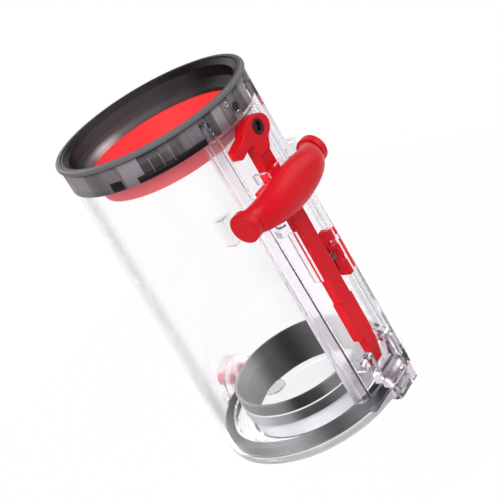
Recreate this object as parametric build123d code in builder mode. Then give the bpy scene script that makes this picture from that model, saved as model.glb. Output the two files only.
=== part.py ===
from build123d import *
import os

os.makedirs("parts", exist_ok=True)

# All sizes are in millimetres. The origin is the centre of the flap's underside, +Z runs up the bin's
# axis, and the runner rail faces -Y. A reach is a distance from the axis towards the front, along -Y.

# Clearances
running_gap = 0.3
seat_gap = 0.1
pin_gap = 0.05

# Clear wall and collar
wall_radius_base = 61.2
wall_draft = 4.2
wall_thickness = 2.0
collar_step = 1.0
collar_height = 11.0
collar_web = 2.5

# Flap, its seal and the ring that stands on it
flap_overhang = 0.5
flap_thickness = 6.0
flap_edge = 2.0
trough_floor = 4.8
rib_thickness = 1.8
rib_top = 10.9
seal_width = 5.0
seal_top = 12.1
boss_thickness = 2.0
boss_top = 15.4
band_height = 6.2
gasket_height = 0.8
cup_bore = 38.0
cup_thickness = 1.6
cup_top = 30.0
cup_rim = 1.9
cup_seat = 1.2
cup_edge = 0.5
trough_bead_width = 1.4
trough_bead_top = 5.8
floor_lug_radius = 7.0
floor_lug_top = 6.0

# Funnel ring, rim seal and wiper sleeve
flange_height = 3.0
skirt_thickness = 1.2
funnel_step = 2.5
ledge_depth = 4.0
ledge_drop = 4.7
ledge_width = 5.2
ledge_land = 3.0
sleeve_flange = 1.8
sleeve_thickness = 1.5
sleeve_length = 12.0
sleeve_taper = 2.5
rim_height = 3.0
rim_width = 3.2
rim_overhang = 1.5
rim_round = 1.2
lip_thickness = 1.0
lip_drop = 0.5

# Runner rail
rail_width = 45.0
rail_wall = 2.5
rail_stand_base = 0.6
rail_stand_top = 1.6
floor_thickness = 2.0
shelf_thickness = 1.8

# Push rod and its head
rod_x = 3.0
rod_width = 10.5
rod_recess = 1.8
rod_thickness = 6.0
rod_rise = 3.0
rod_travel = 8.0
pad_width = 12.8
pad_lift = 10.0
pad_length = 27.0
tip_side = 1.5
tip_width = 8.5
wedge_length = 14.0
wedge_depth = 3.0
neck_lift = 20.5
head_step = 1.0
head_side = 2.8
head_lift = 12.8
head_room = 0.5
head_half_width = 12.0
head_half_height = 8.2
hole_side = 1.8
hole_rise = 1.2
head_pin_radius = 3.0
head_pin_depth = 1.5
head_round = 0.8
ear_length = 14.0
ear_width = 6.6
ear_clear = 3.1
ear_drop = 1.8
ear_angle = 14.0

# Lever
lever_drop = 2.5
lever_span = 78.0
lever_shoulder_over = 1.0
lever_cap = 5.0
lever_cap_round = 1.0
lever_end_radius = 8.8
lever_end_stand = 0.5
lever_neck = 1.3
lever_shoulder_stand = 7.8
lever_shoulder_rise = 9.8
lever_mid_stand = 9.6
lever_mid_depth = 7.6
lever_mid_rise = 12.4
lever_stem_width = 13.0
lever_stem_height = 11.0
lever_stem_round = 2.0
lever_screw_pitch = 6.0

# Stop blocks beside the rail, behind the lever's ends
block_inner = 26.0
block_outer = 40.0
block_gap = 1.2
block_height = 17.0
block_wall = 1.6

# Rod guide and rod ribs
guide_plate = 2.0
guide_leg = 2.4
rib_lift = 17.0
rib_length = 34.0
rib_width = 1.6
rib_rise = 6.0

# Return spring
spring_side = 12.0
spring_stand = 4.0
spring_lift = 3.0
spring_length = 23.0
spring_radius = 2.6
spring_wire = 0.45
spring_turns = 6
spring_seat = 4.0
spring_land = 0.5
spring_tab = 3.0

# Latch catch and the keeper that it holds
catch_rise = 10.1
catch_stand = 0.5
catch_pin_radius = 1.5
catch_boss = 3.4
catch_arm = 3.0
catch_gap = 0.7
catch_clear = 1.2
catch_spring_room = 3.6
catch_spring_radius = 2.1
catch_spring_wire = 0.3
catch_spring_turns = 3
catch_drop = 1.0
catch_rest = 0.6
catch_bridge = 3.6
catch_plate = 2.0
catch_low = 2.6
catch_round = 7.0
lug_width = 3.0
lug_radius = 4.2
nose_depth = 1.2
nose_low = 5.6
nose_high = 8.2
nose_width = 12.0
keeper_depth = 4.4
keeper_height = 11.0
keeper_round = 3.0
keeper_width = 16.0
keeper_window = 12.6
keeper_window_depth = 2.5
window_gap = 0.4

# Release button
button_lift = 7.0
button_length = 28.0
button_rise = 1.6
button_depth = 5.8
button_proud = 1.8
button_flange = 2.6
button_lip = 1.2
button_pad = 19.5
button_ear = 5.0
button_cut = 5.2
button_slot = 1.0
button_slot_length = 16.0
button_notch = 1.7
button_spring_radius = 1.8
button_spring_wire = 0.35
button_spring_turns = 3

# Hinge at the back
hinge_x = 3.0
hinge_height = 6.0
hinge_stand = 4.8
hinge_pin_radius = 1.5
knuckle_radius = 4.0
knuckle_inner = 9.7
knuckle_width = 4.6
hood_width = 33.0
hood_low = 11.5
hood_height = 16.4
hood_round = 13.0
hood_stand = 6.4
hood_wall = 1.8
plug_radius = 4.0
plug_spacing = 11.0
plug_lift = 6.8
hinge_spring_radius = 2.7
hinge_spring_wire = 0.5
hinge_spring_pitch = 1.8
hinge_spring_turns = 4
hinge_spring_leg = 8.0

# Small screws
screw_radius = 1.4
screw_head_radius = 2.6
screw_head_height = 1.4
screw_length = 4.0
screw_drop = 5.0
lever_screw_length = 12.0

# Heights, stacked from the flap's underside to the rim
wall_bottom = flap_thickness + running_gap
band_top = boss_top + band_height
gasket_top = band_top + gasket_height
shelf_low = seal_top + running_gap
shelf_top = shelf_low + shelf_thickness
rod_tip = shelf_top + running_gap + rod_travel
catch_height = rod_tip + catch_rise
pad_low = catch_height + pad_lift
pad_high = pad_low + pad_length
button_height = pad_high + button_lift + button_length / 2
rib_low = pad_high + rib_lift
rib_high = rib_low + rib_length
spring_low = rib_high + spring_lift + spring_seat
spring_high = spring_low + spring_length
lever_height = spring_high - lever_drop
head_neck = lever_height + neck_lift
head_height = head_neck + head_lift
guide_low = lever_height + lever_stem_height / 2 + 2 * running_gap
guide_high = head_neck - rod_travel - 2 * running_gap
channel_top = head_height + head_half_height + head_room
collar_bottom = channel_top + collar_web
wall_top = collar_bottom + collar_height
ledge_top = wall_top - ledge_depth
sleeve_bottom = collar_bottom - sleeve_length
collar_screw_height = wall_top - screw_drop
rim_bottom = wall_top + flange_height
bin_height = rim_bottom + rim_height
hood_top = hood_low + hood_height
plug_height = hood_low + plug_lift

# Radii and reaches, from the wall inwards and outwards
wall_radius_top = wall_radius_base - wall_draft
flap_radius = wall_radius_base + flap_overhang
boss_bore = cup_bore + cup_thickness + cup_seat
boss_radius = boss_bore + boss_thickness
cup_radius = boss_radius - running_gap
gasket_radius = boss_bore - seat_gap
gasket_bore = boss_bore - cup_seat + seat_gap
collar_radius = wall_radius_top + collar_step
collar_bore = wall_radius_top - wall_thickness
skirt_radius = collar_bore - running_gap
funnel_bore = skirt_radius - funnel_step
ledge_radius = funnel_bore - ledge_width
bead_radius = collar_radius + rim_overhang
bead_bore = bead_radius - rim_width
lip_radius = bead_bore - running_gap
collar_screw_reach = collar_radius - screw_head_height
rail_reach_base = wall_radius_base + rail_stand_base
rail_reach_top = wall_radius_top + rail_stand_top
rod_reach = rail_reach_base - rod_recess
rod_back = rod_reach - rod_thickness
floor_reach = rod_back - rod_rise
guide_front = rod_reach + running_gap + guide_plate
rib_reach = floor_reach + rib_rise
spring_reach = floor_reach + spring_stand
button_reach = floor_reach + button_rise + button_depth / 2
lever_end_reach = rod_reach + lever_end_stand
lever_shoulder_reach = rod_reach + lever_shoulder_stand
lever_mid_reach = rod_reach + lever_mid_stand
block_reach = lever_end_reach - lever_end_radius - block_gap
catch_reach = rod_reach + catch_stand
catch_face = rod_reach - wedge_depth + catch_rest
keeper_back = rail_reach_base + running_gap
keeper_reach = keeper_back + keeper_depth
catch_back = keeper_back + seat_gap
catch_inner = keeper_reach + running_gap + nose_depth
catch_outer = catch_inner + catch_plate
hinge_reach = wall_radius_base + hinge_stand
hood_depth = hinge_reach + hood_stand

# Places across the rail
half_rail = rail_width / 2
half_channel = half_rail - rail_wall
lever_shoulder = rail_width + lever_shoulder_over
rib_side = rod_x + rod_width / 2 + running_gap + rib_width
spring_x = rod_x - spring_side
tip_x = rod_x + tip_side
head_x = rod_x + head_side
hole_x = head_x + hole_side
ear_x = ear_clear + ear_length / 2 - half_channel
hole_height = head_height + hole_rise
catch_half = pad_width / 2 + catch_clear
catch_width = 2 * (catch_half + catch_arm)
lug_left = rod_x - catch_width / 2 - catch_spring_room
lug_right = rod_x + catch_width / 2 + catch_gap
button_seat = half_channel - running_gap - button_flange

# Clearances of the catch over the keeper and under the rod
catch_over = keeper_height + window_gap
catch_shelf = shelf_top + window_gap
catch_top = rod_tip - catch_drop

# Length of a cut that passes right through the part
far = 2 * bin_height


def wall_radius(height):
    """Outside radius of the tapered clear wall at a height."""
    share = (height - wall_bottom) / (collar_bottom - wall_bottom)
    return wall_radius_base + (wall_radius_top - wall_radius_base) * share


def front_plane(reach):
    """Plane across the rail at a reach, facing outwards, with X to the right and Z up."""
    return Plane.XZ.offset(reach)


def back_plane(x, reach, height):
    """Plane across the rail that faces the bin's axis, with Z up."""
    return Plane(origin=(x, -reach, height), x_dir=(-1, 0, 0), z_dir=(0, 1, 0))


def across_plane(x, reach, height):
    """Plane at a place in the rail or behind it, facing right, with its first axis to the back."""
    return Plane(origin=(x, -reach, height), x_dir=(0, 1, 0), z_dir=(1, 0, 0))


def ring(bore, radius, low, high):
    """Section of a plain ring, for a sketch on the XZ plane."""
    with Locations(((bore + radius) / 2, (low + high) / 2)):
        Rectangle(radius - bore, high - low)


def coil(base, radius, wire, pitch, turns):
    """Coil of six-sided wire that starts at a plane's origin and winds along its normal."""
    winding = Helix(pitch=pitch, height=pitch * turns, radius=radius)
    start = Plane(origin=winding @ 0, z_dir=winding % 0)
    return base * sweep(start * RegularPolygon(wire, 6), path=winding)


seal_radius = wall_radius(seal_top) - wall_thickness - running_gap - pin_gap
rib_radius = seal_radius - seal_width - seat_gap
trough_middle = (boss_radius + rib_radius - rib_thickness) / 2

# Clear bin shell: its hollow, its rail channel and its hood pocket are made first, as tools
with BuildPart() as outer_body:
    with BuildSketch(Plane.XZ):
        with BuildLine():
            Polyline(
                (0, wall_bottom),
                (wall_radius_base, wall_bottom),
                (wall_radius_top, collar_bottom),
                (collar_radius, collar_bottom),
                (collar_radius, wall_top),
                (0, wall_top),
                close=True,
            )
        make_face()
    revolve(axis=Axis.Z)

with BuildPart() as hollow:
    with BuildSketch(Plane.XZ):
        with BuildLine():
            Polyline(
                (0, wall_bottom),
                (wall_radius_base - wall_thickness, wall_bottom),
                (collar_bore, collar_bottom),
                (collar_bore, wall_top),
                (0, wall_top),
                close=True,
            )
        make_face()
    revolve(axis=Axis.Z)
    with BuildSketch(front_plane(floor_reach - floor_thickness)):
        with Locations((0, (shelf_low + channel_top) / 2)):
            Rectangle(rail_width, channel_top - shelf_low)
    extrude(amount=far, mode=Mode.SUBTRACT)

with BuildPart() as channel:
    with BuildSketch(front_plane(0)):
        with Locations((0, (channel_top + wall_top) / 2)):
            Rectangle(2 * half_channel, wall_top - channel_top)
    extrude(amount=far)
    with BuildSketch(Plane.XY.offset(channel_top)):
        Circle(collar_radius)
    extrude(amount=wall_top - channel_top, mode=Mode.SUBTRACT)
    with BuildSketch(front_plane(floor_reach)):
        with Locations((0, (shelf_top + channel_top) / 2)):
            Rectangle(2 * half_channel, channel_top - shelf_top)
    extrude(amount=far)

with BuildPart() as hood_pocket:
    with BuildSketch(Plane.XZ):
        with Locations((hinge_x, (hood_low + hood_top - hood_wall) / 2)):
            hood_outline = Rectangle(hood_width - 2 * hood_wall, hood_top - hood_wall - hood_low)
        fillet(hood_outline.vertices().group_by(Axis.Y)[-1], hood_round - hood_wall)
        with Locations((hinge_x, hood_low / 2)):
            Rectangle(hood_width - 2 * hood_wall, hood_low)
    extrude(amount=-(hood_depth - hood_wall))
    add(outer_body.part, mode=Mode.SUBTRACT)
    with BuildSketch(Plane.XY):
        Circle(flap_radius)
    extrude(amount=wall_bottom, mode=Mode.SUBTRACT)

with BuildPart() as block_pockets:
    with BuildSketch(Plane.XZ):
        with Locations((0, lever_height - block_wall)):
            with GridLocations(block_inner + block_outer, 0, 2, 1):
                Rectangle(block_outer - block_inner - 2 * block_wall, block_height)
    extrude(amount=block_reach - block_wall)
    add(outer_body.part, mode=Mode.SUBTRACT)

with BuildPart() as bin_shell:
    add(outer_body.part)
    # Rail walls, whose outer edge follows the draft of the bin
    with BuildSketch(Plane.YZ.offset(-half_rail)):
        with BuildLine():
            Polyline(
                (0, wall_bottom),
                (-rail_reach_base, wall_bottom),
                (-rail_reach_top, wall_top),
                (0, wall_top),
                close=True,
            )
        make_face()
    extrude(amount=rail_width)
    # Hinge hood with its two ears
    with BuildSketch(Plane.XZ):
        with Locations((hinge_x, (hood_low + hood_top) / 2)):
            hood_face = Rectangle(hood_width, hood_top - hood_low)
        fillet(hood_face.vertices().group_by(Axis.Y)[-1], hood_round)
    extrude(amount=-hood_depth)
    for side in (-1, 1):
        with BuildSketch(Plane.YZ.offset(hinge_x + side * (hood_width - hood_wall) / 2)):
            with Locations((hinge_reach, hinge_height)):
                Circle(knuckle_radius)
            with Locations((hinge_reach, (hinge_height + hood_low) / 2)):
                Rectangle(2 * knuckle_radius, hood_low - hinge_height)
        extrude(amount=hood_wall / 2, both=True)
    # Stop blocks beside the rail
    for side in (-1, 1):
        with BuildSketch(front_plane(0)):
            with Locations((side * (block_inner + block_outer) / 2, lever_height)):
                Rectangle(block_outer - block_inner, block_height)
        extrude(amount=block_reach)
    add(hollow.part, mode=Mode.SUBTRACT)
    add(channel.part, mode=Mode.SUBTRACT)
    add(hood_pocket.part, mode=Mode.SUBTRACT)
    add(block_pockets.part, mode=Mode.SUBTRACT)
    # Ribs that guide the rod
    with BuildSketch(front_plane(floor_reach)):
        with Locations((rod_x, (rib_low + rib_high) / 2)):
            with GridLocations(rod_width + 2 * running_gap + rib_width, 0, 2, 1):
                Rectangle(rib_width, rib_high - rib_low)
        # Seat under the return spring
        with Locations((spring_x, spring_low - spring_seat / 2)):
            Rectangle(2 * (spring_radius + spring_wire + spring_land), spring_seat)
    extrude(amount=rib_reach - floor_reach)
    # Lugs that carry the catch
    for lug_x in (lug_left - lug_width, lug_right):
        with BuildSketch(Plane.YZ.offset(lug_x)):
            with Locations((-catch_reach, catch_height)):
                Circle(lug_radius)
            with Locations((-(floor_reach + catch_reach) / 2, catch_height)):
                Rectangle(catch_reach - floor_reach, 2 * lug_radius)
            with Locations((-catch_reach, catch_height)):
                Circle(catch_pin_radius + pin_gap, mode=Mode.SUBTRACT)
        extrude(amount=lug_width)
    # Hinge pin holes through the ears
    with BuildSketch(Plane.YZ):
        with Locations((hinge_reach, hinge_height)):
            Circle(hinge_pin_radius + pin_gap)
    extrude(amount=hood_width, both=True, mode=Mode.SUBTRACT)
    # Window for the release button in the right side wall
    with BuildSketch(Plane.YZ.offset(half_channel - rail_wall)):
        with Locations((-button_reach, button_height)):
            RectangleRounded(
                button_depth + 2 * running_gap,
                button_length + 2 * running_gap,
                button_lip + running_gap,
            )
    extrude(amount=3 * rail_wall, mode=Mode.SUBTRACT)
    # Spot faces and holes for the collar screws, front and back
    for facing in (-1, 1):
        screw_plane = Plane(
            origin=(rod_x if facing < 0 else 0, facing * collar_screw_reach, collar_screw_height),
            z_dir=(0, facing, 0),
        )
        with BuildSketch(screw_plane):
            Circle(screw_head_radius + running_gap)
        extrude(amount=far, mode=Mode.SUBTRACT)
        with BuildSketch(screw_plane):
            Circle(screw_radius + pin_gap)
        extrude(amount=-screw_length, mode=Mode.SUBTRACT)
bin_shell.part.label = "bin_shell"
export_step(bin_shell.part, "parts/bin_shell.step")

# Dark funnel ring: flange on the wall's top edge, flared lip, skirt inside the collar and sloping ledge
with BuildPart() as funnel_ring:
    with BuildSketch(Plane.XZ):
        with BuildLine():
            Polyline(
                (funnel_bore, rim_bottom),
                (lip_radius - lip_thickness, bin_height - lip_drop),
                (lip_radius, bin_height - lip_drop),
                (lip_radius, rim_bottom),
                (collar_radius, rim_bottom),
                (collar_radius, wall_top),
                (skirt_radius, wall_top),
                (skirt_radius, collar_bottom),
                (skirt_radius - skirt_thickness, collar_bottom),
                (skirt_radius - skirt_thickness, ledge_top - ledge_drop + skirt_thickness),
                (ledge_radius + ledge_land, collar_bottom + skirt_thickness),
                (ledge_radius + ledge_land, collar_bottom),
                (ledge_radius, collar_bottom),
                (ledge_radius, ledge_top - ledge_drop),
                (funnel_bore, ledge_top),
                close=True,
            )
        make_face()
    revolve(axis=Axis.Z)
    for facing in (-1, 1):
        screw_plane = Plane(
            origin=(rod_x if facing < 0 else 0, facing * collar_screw_reach, collar_screw_height),
            z_dir=(0, facing, 0),
        )
        with BuildSketch(screw_plane):
            Circle(screw_radius + pin_gap)
        extrude(amount=-screw_length, mode=Mode.SUBTRACT)
funnel_ring.part.label = "funnel_ring"
export_step(funnel_ring.part, "parts/funnel_ring.step")

# Dark rubber bead on the flange
with BuildPart() as rim_seal:
    with BuildSketch(Plane.XZ):
        with Locations(((bead_bore + bead_radius) / 2, bin_height - rim_height / 2)):
            bead = Rectangle(rim_width, rim_height)
        fillet(bead.vertices().group_by(Axis.X)[-1], rim_round)
        fillet(bead.vertices().group_by(Axis.Y)[-1].sort_by(Axis.X)[0], rim_round)
    revolve(axis=Axis.Z)
rim_seal.part.label = "rim_seal"
export_step(rim_seal.part, "parts/rim_seal.step")

# Red wiper sleeve under the ledge
with BuildPart() as wiper_sleeve:
    with BuildSketch(Plane.XZ):
        with BuildLine():
            Polyline(
                (ledge_radius + ledge_land, collar_bottom),
                (ledge_radius + ledge_land, collar_bottom - sleeve_flange),
                (ledge_radius, collar_bottom - sleeve_flange),
                (ledge_radius - sleeve_taper, sleeve_bottom),
                (ledge_radius - sleeve_taper - sleeve_thickness, sleeve_bottom),
                (ledge_radius - sleeve_thickness, collar_bottom),
                close=True,
            )
        make_face()
    revolve(axis=Axis.Z)
wiper_sleeve.part.label = "wiper_sleeve"
export_step(wiper_sleeve.part, "parts/wiper_sleeve.step")

# Screws of the collar, one in the rail and one at the back
with BuildPart() as collar_screws:
    for facing in (-1, 1):
        screw_plane = Plane(
            origin=(rod_x if facing < 0 else 0, facing * collar_screw_reach, collar_screw_height),
            z_dir=(0, facing, 0),
        )
        with BuildSketch(screw_plane):
            Circle(screw_head_radius)
        extrude(amount=screw_head_height)
        with BuildSketch(screw_plane):
            Circle(screw_radius)
        extrude(amount=-screw_length + seat_gap)
collar_screws.part.label = "collar_screws"
export_step(collar_screws.part, "parts/collar_screws.step")

# Red push rod with its hooked head, wide pad and wedge-shaped tip
with BuildPart() as push_rod:
    with BuildSketch(front_plane(rod_back)):
        with Locations((rod_x, (pad_low + head_neck) / 2)):
            Rectangle(rod_width, head_neck - pad_low)
        with Locations((rod_x, (pad_low + pad_high) / 2)):
            Rectangle(pad_width, pad_high - pad_low)
        with Locations((tip_x, (rod_tip + pad_low) / 2)):
            Rectangle(tip_width, pad_low - rod_tip)
        # Arm that presses on the return spring
        with Locations(((spring_x + rod_x) / 2 - spring_radius, spring_high + spring_tab / 2)):
            Rectangle(rod_x - spring_x + spring_radius, spring_tab)
    extrude(amount=rod_thickness)
    with BuildSketch(front_plane(rod_back)):
        with BuildLine():
            Polyline(
                (rod_x - rod_width / 2, head_neck),
                (rod_x + rod_width / 2, head_neck),
                (head_x + head_half_width - head_half_height / 2, head_height - head_half_height / 2),
                (head_x - head_half_width + head_half_height / 2, head_height - head_half_height / 2),
                close=True,
            )
        make_face()
        with Locations((head_x, head_height)):
            Ellipse(head_half_width, head_half_height)
        with Locations((ear_x, head_height - ear_drop)):
            SlotOverall(ear_length, ear_width, rotation=ear_angle)
    extrude(amount=rod_thickness + head_step)
    fillet(push_rod.faces().sort_by(Axis.Y)[0].edges(), head_round)
    with BuildSketch(front_plane(rod_back)):
        with Locations((hole_x, hole_height)):
            Circle(head_pin_radius + pin_gap)
    extrude(amount=far, mode=Mode.SUBTRACT)
    # Slanted front of the tip, which pushes the catch outwards on the way down
    with BuildSketch(Plane.YZ.offset(tip_x)):
        with BuildLine():
            Polyline(
                (-rod_reach, rod_tip + wedge_length),
                (-rod_reach, rod_tip),
                (-rod_reach + wedge_depth, rod_tip),
                close=True,
            )
        make_face()
    extrude(amount=tip_width, both=True, mode=Mode.SUBTRACT)
    # Holes for the lever screws, with room for their heads at the back
    with Locations(back_plane(rod_x, rod_back, lever_height)):
        with GridLocations(0, lever_screw_pitch, 1, 2):
            CounterBoreHole(
                screw_radius + pin_gap,
                screw_head_radius + running_gap,
                screw_head_height,
                rod_thickness,
            )
push_rod.part.label = "push_rod"
export_step(push_rod.part, "parts/push_rod.step")

# Dark pin in the head
with BuildPart() as head_pin:
    with BuildSketch(front_plane(rod_back)):
        with Locations((hole_x, hole_height)):
            Circle(head_pin_radius)
    extrude(amount=rod_thickness + head_step - head_pin_depth)
head_pin.part.label = "head_pin"
export_step(head_pin.part, "parts/head_pin.step")

# Red lever: a bow of rounded sections across the rail, with round end caps, on a stem that seats on the rod
with BuildPart() as bin_lever:
    neck_x = lever_span / 2 - lever_cap
    neck_radius = lever_end_radius - lever_neck
    for across, reach, depth, rise in (
        (-neck_x, lever_end_reach, neck_radius, neck_radius),
        (-lever_shoulder / 2, lever_shoulder_reach, lever_mid_depth, lever_shoulder_rise),
        (0, lever_mid_reach, lever_mid_depth, lever_mid_rise),
        (lever_shoulder / 2, lever_shoulder_reach, lever_mid_depth, lever_shoulder_rise),
        (neck_x, lever_end_reach, neck_radius, neck_radius),
    ):
        section = Plane(origin=(across, -reach, lever_height), x_dir=(0, -1, 0), z_dir=(1, 0, 0))
        with BuildSketch(section):
            Ellipse(depth, rise)
    loft()
    for side in (-1, 1):
        with BuildSketch(Plane.YZ.offset(side * neck_x)):
            with Locations((-lever_end_reach, lever_height)):
                Circle(lever_end_radius)
        extrude(amount=side * lever_cap)
        fillet(bin_lever.faces().sort_by(Axis.X)[0 if side < 0 else -1].edges(), lever_cap_round)
    with BuildSketch(front_plane(rod_reach)):
        with Locations((rod_x, lever_height)):
            RectangleRounded(lever_stem_width, lever_stem_height, lever_stem_round)
    extrude(amount=lever_mid_reach - rod_reach)
    with Locations(back_plane(rod_x, rod_reach, lever_height)):
        with GridLocations(0, lever_screw_pitch, 1, 2):
            Hole(screw_radius + pin_gap, lever_screw_length)
bin_lever.part.label = "bin_lever"
export_step(bin_lever.part, "parts/bin_lever.step")

# Screws that hold the lever, from the back of the rod
with BuildPart() as lever_screws:
    head_seat = back_plane(rod_x, rod_back + screw_head_height, lever_height)
    with BuildSketch(head_seat):
        with GridLocations(0, lever_screw_pitch, 1, 2):
            Circle(screw_head_radius)
    extrude(amount=screw_head_height)
    with BuildSketch(head_seat):
        with GridLocations(0, lever_screw_pitch, 1, 2):
            Circle(screw_radius)
    extrude(amount=-lever_screw_length)
lever_screws.part.label = "lever_screws"
export_step(lever_screws.part, "parts/lever_screws.step")

# Clear bridge that keeps the rod in the channel
with BuildPart() as rod_guide:
    guide_middle = (guide_low + guide_high) / 2
    guide_tall = guide_high - guide_low
    leg_step = rod_width + 2 * running_gap + guide_leg
    with BuildSketch(front_plane(floor_reach)):
        with Locations((rod_x, guide_middle)):
            with GridLocations(leg_step, 0, 2, 1):
                Rectangle(guide_leg, guide_tall)
    extrude(amount=guide_front - floor_reach)
    with BuildSketch(front_plane(guide_front - guide_plate)):
        with Locations((rod_x, guide_middle)):
            Rectangle(leg_step + guide_leg, guide_tall)
    extrude(amount=guide_plate)
rod_guide.part.label = "rod_guide"
export_step(rod_guide.part, "parts/rod_guide.step")

# Spring between the shell's seat and the rod's arm
return_coil = coil(
    Plane(origin=(spring_x, -spring_reach, spring_low + spring_wire)),
    spring_radius,
    spring_wire,
    (spring_length - 2 * spring_wire) / spring_turns,
    spring_turns,
)
with BuildPart() as return_spring:
    add(return_coil)
return_spring.part.label = "return_spring"
export_step(return_spring.part, "parts/return_spring.step")

# Clear catch: two arms on the pins, a bar that the rod's wedge pushes, and a nose at the keeper
with BuildPart() as latch_catch:
    with BuildSketch(Plane.YZ.offset(rod_x - catch_width / 2)) as catch_profile:
        with BuildLine():
            Polyline(
                (-catch_face, catch_top),
                (-catch_face, catch_shelf),
                (-catch_back, catch_shelf),
                (-catch_back, catch_over),
                (-catch_inner, catch_over),
                (-catch_inner, catch_low),
                (-catch_outer, catch_low),
                (-catch_outer, catch_over + catch_bridge),
                (-catch_back, catch_top),
                close=True,
            )
        make_face()
        fillet(catch_profile.vertices().group_by(Axis.X)[0].sort_by(Axis.Y)[-1], catch_round)
    extrude(amount=catch_width)
    front_corners = latch_catch.edges().filter_by(Axis.Z).group_by(Axis.Y)[0]
    fillet(front_corners, catch_plate - seat_gap)
    with BuildSketch(front_plane(catch_inner - nose_depth)):
        with Locations((rod_x, (nose_low + nose_high) / 2)):
            Rectangle(nose_width, nose_high - nose_low)
    extrude(amount=nose_depth)
    for arm_x in (rod_x - catch_width / 2, rod_x + catch_half):
        with BuildSketch(Plane.YZ.offset(arm_x)):
            with Locations((-catch_reach, catch_height)):
                Circle(catch_boss)
            with Locations((-catch_reach, (catch_shelf + catch_height) / 2)):
                Rectangle(2 * (catch_reach - catch_face), catch_height - catch_shelf)
            with Locations((-catch_reach, catch_height)):
                Circle(catch_pin_radius + pin_gap, mode=Mode.SUBTRACT)
        extrude(amount=catch_arm)
latch_catch.part.label = "latch_catch"
export_step(latch_catch.part, "parts/latch_catch.step")

# Stub pins of the catch, one for each arm
with BuildPart() as catch_pins:
    with BuildSketch(Plane.YZ.offset(lug_left - lug_width)):
        with Locations((-catch_reach, catch_height)):
            Circle(catch_pin_radius)
    extrude(amount=lug_width + catch_spring_room + catch_arm)
    with BuildSketch(Plane.YZ.offset(rod_x + catch_half)):
        with Locations((-catch_reach, catch_height)):
            Circle(catch_pin_radius)
    extrude(amount=catch_arm + catch_gap + lug_width)
catch_pins.part.label = "catch_pins"
export_step(catch_pins.part, "parts/catch_pins.step")

# Spring of the catch, wound on the left pin
catch_coil = coil(
    across_plane(lug_left + catch_spring_wire + seat_gap, catch_reach, catch_height),
    catch_spring_radius,
    catch_spring_wire,
    (catch_spring_room - 2 * catch_spring_wire - 2 * seat_gap) / catch_spring_turns,
    catch_spring_turns,
)
with BuildPart() as catch_spring:
    add(catch_coil)
catch_spring.part.label = "catch_spring"
export_step(catch_spring.part, "parts/catch_spring.step")

# Red release button with a retaining flange inside the channel
with BuildPart() as release_button:
    with BuildSketch(Plane.YZ.offset(button_seat)):
        with Locations((-button_reach, button_height)):
            RectangleRounded(button_depth + 2 * button_lip, button_length + 2 * button_lip, button_lip)
    extrude(amount=button_flange)
    # Long pad and short ear, which stand out through the wall
    pad_middle = button_height - (button_length - button_pad) / 2
    ear_middle = button_height + (button_length - button_ear) / 2
    with BuildSketch(Plane.YZ.offset(button_seat)):
        with Locations((-button_reach, pad_middle)):
            RectangleRounded(button_depth, button_pad, button_lip)
        with Locations((-button_reach, ear_middle)):
            RectangleRounded(button_depth, button_ear, button_lip)
    extrude(amount=half_rail + button_proud - button_seat)
    fillet(release_button.faces().group_by(Axis.X)[-1].edges(), button_lip / 2)
    # Cut between pad and ear, slot along the back edge and notch in the front edge
    button_front = button_reach + button_depth / 2 + button_lip
    cut_height = button_length - button_pad - button_ear
    with BuildSketch(Plane.YZ.offset(button_seat)):
        with Locations((-button_front + button_cut / 2, ear_middle - (button_ear + cut_height) / 2)):
            Rectangle(button_cut, cut_height)
        with Locations((-button_reach + button_depth / 2, pad_middle + button_lip)):
            SlotOverall(button_slot_length, button_slot, rotation=90)
        with Locations((-button_front, pad_middle)):
            Circle(button_notch)
    extrude(amount=button_flange, mode=Mode.SUBTRACT)
release_button.part.label = "release_button"
export_step(release_button.part, "parts/release_button.step")

# Spring of the button, between the rod's rib and the flange
button_coil = coil(
    across_plane(rib_side + button_spring_wire, button_reach, button_height),
    button_spring_radius,
    button_spring_wire,
    (button_seat - rib_side - 2 * button_spring_wire) / button_spring_turns,
    button_spring_turns,
)
with BuildPart() as button_spring:
    add(button_coil)
button_spring.part.label = "button_spring"
export_step(button_spring.part, "parts/button_spring.step")

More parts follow.
